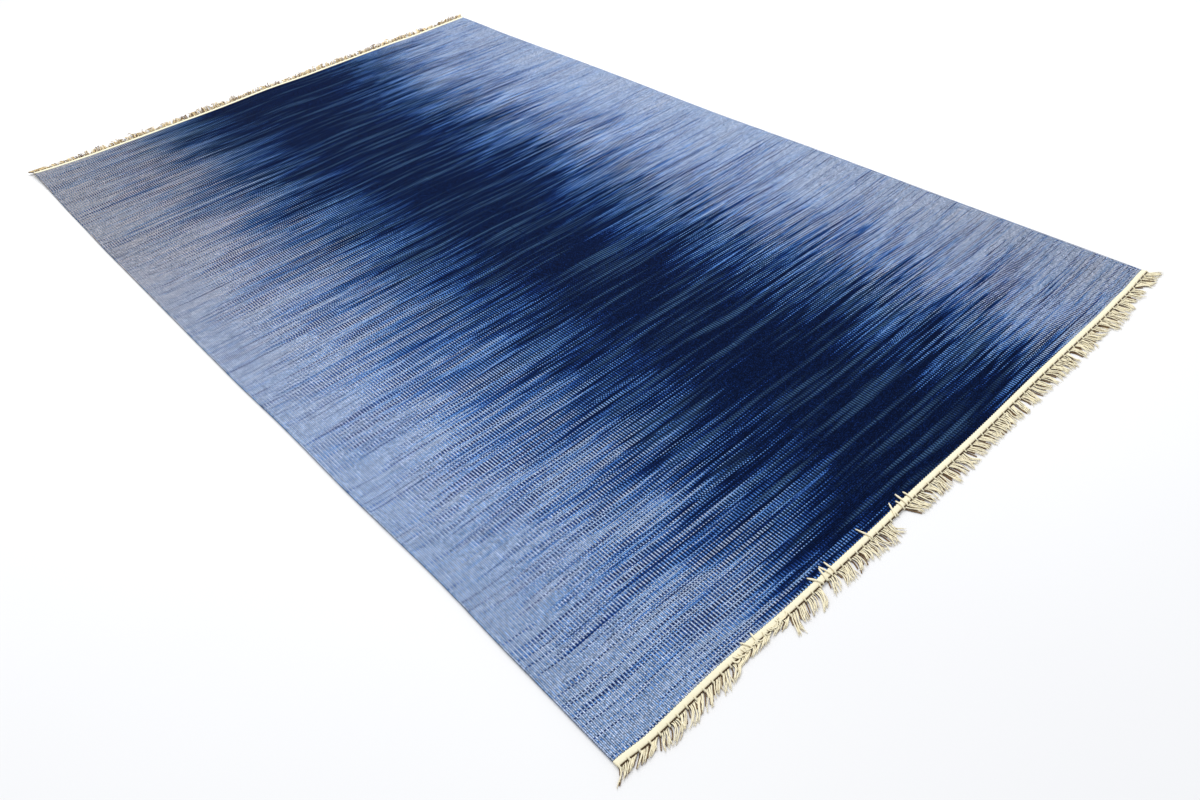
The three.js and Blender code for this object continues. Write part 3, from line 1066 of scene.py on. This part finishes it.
    def relief(self):
        """How high the yarn stands in its stitch, from 0 to 1, which also makes the bump."""
        crown = self.math("SINE", self.times(self.in_rib, math.pi))
        hump = self.math("SINE", self.times(self.in_stitch, math.pi))
        rise = self.times(crown, self.math("POWER", hump, STITCH_EASING))
        rib_scale, pick_scale, seed = WEAVE_FIBRE
        place = self.point(self.times(self.ribs, rib_scale), self.times(self.picks, pick_scale), seed)
        fibre = self.noise(place, 1.0, WEAVE_FIBRE_DETAIL)
        self.bump(self.plus(rise, self.times(fibre, WEAVE_FIBRE_SHARE)), *WEAVE_BUMP)
        return rise


def cotton_material(name, pale, tan, painted_shade):
    g = Graph(name)
    # The tone holds each piece's own tone with painted light and shade added; the painted shade share
    # mixes in the colour of painted shade
    tone = g.add("ShaderNodeAttribute", attribute_name="tone").outputs["Fac"]
    painted_shade_share = g.add("ShaderNodeAttribute", attribute_name="painted_shade").outputs["Fac"]
    place = g.add("ShaderNodeTexCoord").outputs["Object"]
    patch = g.times(g.noise(place, *COTTON_PATCH), COTTON_PATCH_SHARE)
    fibre = g.noise(place, *COTTON_FIBRE)
    level = g.plus(tone, patch, g.times(fibre, COTTON_FIBRE_SHARE))
    colour = g.mix(level, srgb(*tan), srgb(*pale))
    colour = g.mix(painted_shade_share, colour, srgb(*painted_shade))
    g.bump(fibre, *COTTON_BUMP)
    return g.finish(colour, COTTON_ROUGHNESS, COTTON_SHEEN)


# Stage

def build_floor():
    bpy.ops.mesh.primitive_plane_add(size=FLOOR_SIZE, location=(0, 0, FLOOR_LEVEL))
    floor = bpy.context.object
    floor.name = "floor"
    g = Graph("floor_pale")
    place = g.add("ShaderNodeTexCoord").outputs["Object"]
    cloud = g.plus(0.5, g.noise(place, *FLOOR_CLOUD))
    dim, bright = FLOOR_COLOURS
    colour = g.mix(cloud, srgb(*dim), srgb(*bright))
    floor.data.materials.append(g.finish(colour, FLOOR_ROUGHNESS))


def add_light(name, place, aim, size, power, colour):
    data = bpy.data.lights.new(name, "AREA")
    data.shape = "DISK"
    data.size = size
    data.energy = power
    data.color = colour
    light = bpy.data.objects.new(name, data)
    light.location = place
    light.rotation_euler = (Vector(aim) - Vector(place)).to_track_quat("-Z", "Y").to_euler()
    bpy.context.scene.collection.objects.link(light)


def build_light():
    scene = bpy.context.scene
    world = bpy.data.worlds.new("studio")
    world.use_nodes = True
    background = world.node_tree.nodes["Background"]
    background.inputs["Color"].default_value = WORLD_COLOUR
    background.inputs["Strength"].default_value = WORLD_STRENGTH
    scene.world = world
    for row in LIGHTS:
        add_light(*row)
    scene.view_settings.view_transform = "Standard"


def build_camera():
    data = bpy.data.cameras.new("camera")
    data.sensor_width = SENSOR_WIDTH
    data.lens = CAMERA_LENS
    data.clip_end = CLIP_END
    camera = bpy.data.objects.new("camera", data)
    back = CAMERA_RIGHT.cross(CAMERA_UP)
    turn = Matrix((CAMERA_RIGHT, CAMERA_UP, back)).transposed()
    camera.matrix_world = Matrix.Translation(CAMERA_PLACE) @ turn.to_4x4()
    bpy.context.scene.collection.objects.link(camera)
    bpy.context.scene.camera = camera


def build_rug():
    weave = Weave().material
    heading = cotton_material(*HEADING_COTTON)
    strands = cotton_material(*NEAR_COTTON)
    # The far strands are darker and browner than the near ones
    darker_far_cotton = cotton_material(*FAR_COTTON)
    field = build_field(weave)
    trims = {
        "fringe_near": [
            build_heading("heading_near", NEAR, heading),
            build_fringe("strands_near", NEAR, NEAR_CLUMPS, FLIPPED_STRANDS, strands),
        ],
        "fringe_far": [
            build_heading("heading_far", FAR, heading),
            build_fringe("strands_far", FAR, FAR_CLUMPS, [], darker_far_cotton),
        ],
    }
    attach(field, "root")
    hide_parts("field")
    for node, group in trims.items():
        for piece in group:
            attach(piece, "root")
            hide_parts(node)


build_floor()
build_light()
build_camera()
build_rug()
